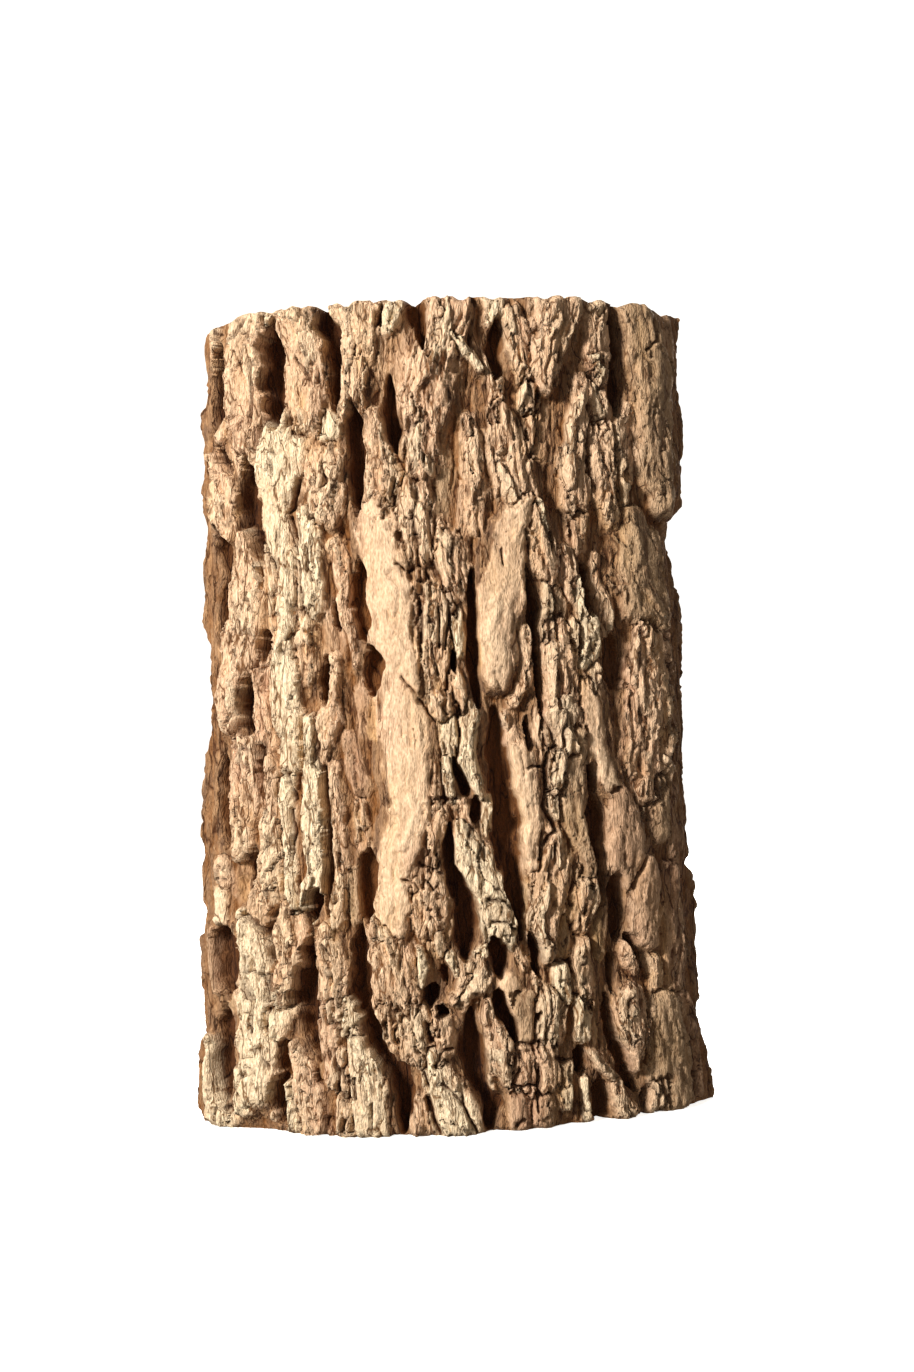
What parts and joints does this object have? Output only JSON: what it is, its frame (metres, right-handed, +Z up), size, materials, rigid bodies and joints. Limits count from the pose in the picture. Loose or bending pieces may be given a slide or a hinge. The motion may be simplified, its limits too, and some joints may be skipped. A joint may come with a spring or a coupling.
{
  "type": "cork bark board",
  "caption": "Curved board of raw cork bark with deep upright ridges on its face, a smooth hollow back and two sawn ends; stands on its foot as a backdrop, plant mount or climbing bark.",
  "frame": {"origin": "on the sawn foot, mid-width and mid-thickness of the bark at the crest of its curve", "axes": "+Z up along the trunk from the sawn foot to the sawn top, bark face towards -Y, hollow back towards +Y, +X to the right as the bark is faced"},
  "size_m": [0.2577, 0.0754, 0.4],
  "materials": {
    "cork_bark": "rough, dry, matt raw bark"
  },
  "bodies": {
    "root": {"cork_bark_board": "cork_bark"}
  },
  "joints": []
}
